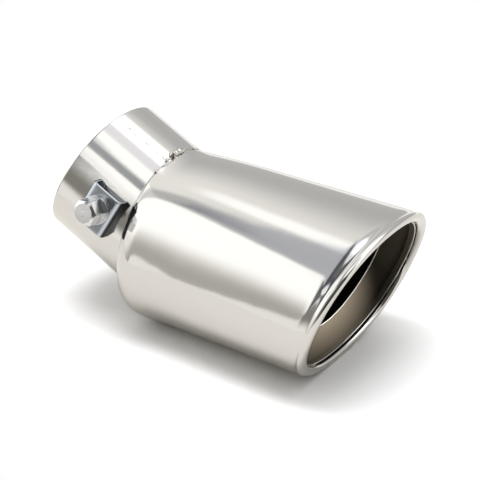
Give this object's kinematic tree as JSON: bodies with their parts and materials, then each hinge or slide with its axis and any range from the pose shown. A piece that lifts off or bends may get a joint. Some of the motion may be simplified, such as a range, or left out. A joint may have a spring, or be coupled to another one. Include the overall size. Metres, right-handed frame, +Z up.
{
  "type": "exhaust tip",
  "caption": "Curved bolt-on exhaust tip: round inlet pipe with a side clamp bolt, mitred to a wide oval body with a slash-cut rolled mouth around an inner sleeve.",
  "frame": {"origin": "centre of the inlet pipe's open end", "axes": "+X along the body towards the mouth, +Z up with the body's underside level; the inlet pipe runs 28 degrees downwards from its open end to the body"},
  "size_m": [0.157, 0.0911, 0.0882],
  "materials": {
    "stainless_inlet": "drawn stainless tube, softly polished",
    "stainless_body": "polished stainless sheet",
    "stainless_sleeve": "plain stainless tube, dull inside",
    "weld_metal": "bright weld beads",
    "zinc_bracket": "zinc-plated pressed steel",
    "zinc_fasteners": "bright zinc-plated steel"
  },
  "bodies": {
    "root": {"inlet_pipe": "stainless_inlet", "outer_shell": "stainless_body", "inner_sleeve": "stainless_sleeve", "seam_tacks": "weld_metal", "clamp_bracket": "zinc_bracket", "weld_nut": "zinc_fasteners", "washer": "zinc_fasteners", "lock_nut": "zinc_fasteners", "clamp_bolt": "zinc_fasteners"}
  },
  "joints": []
}
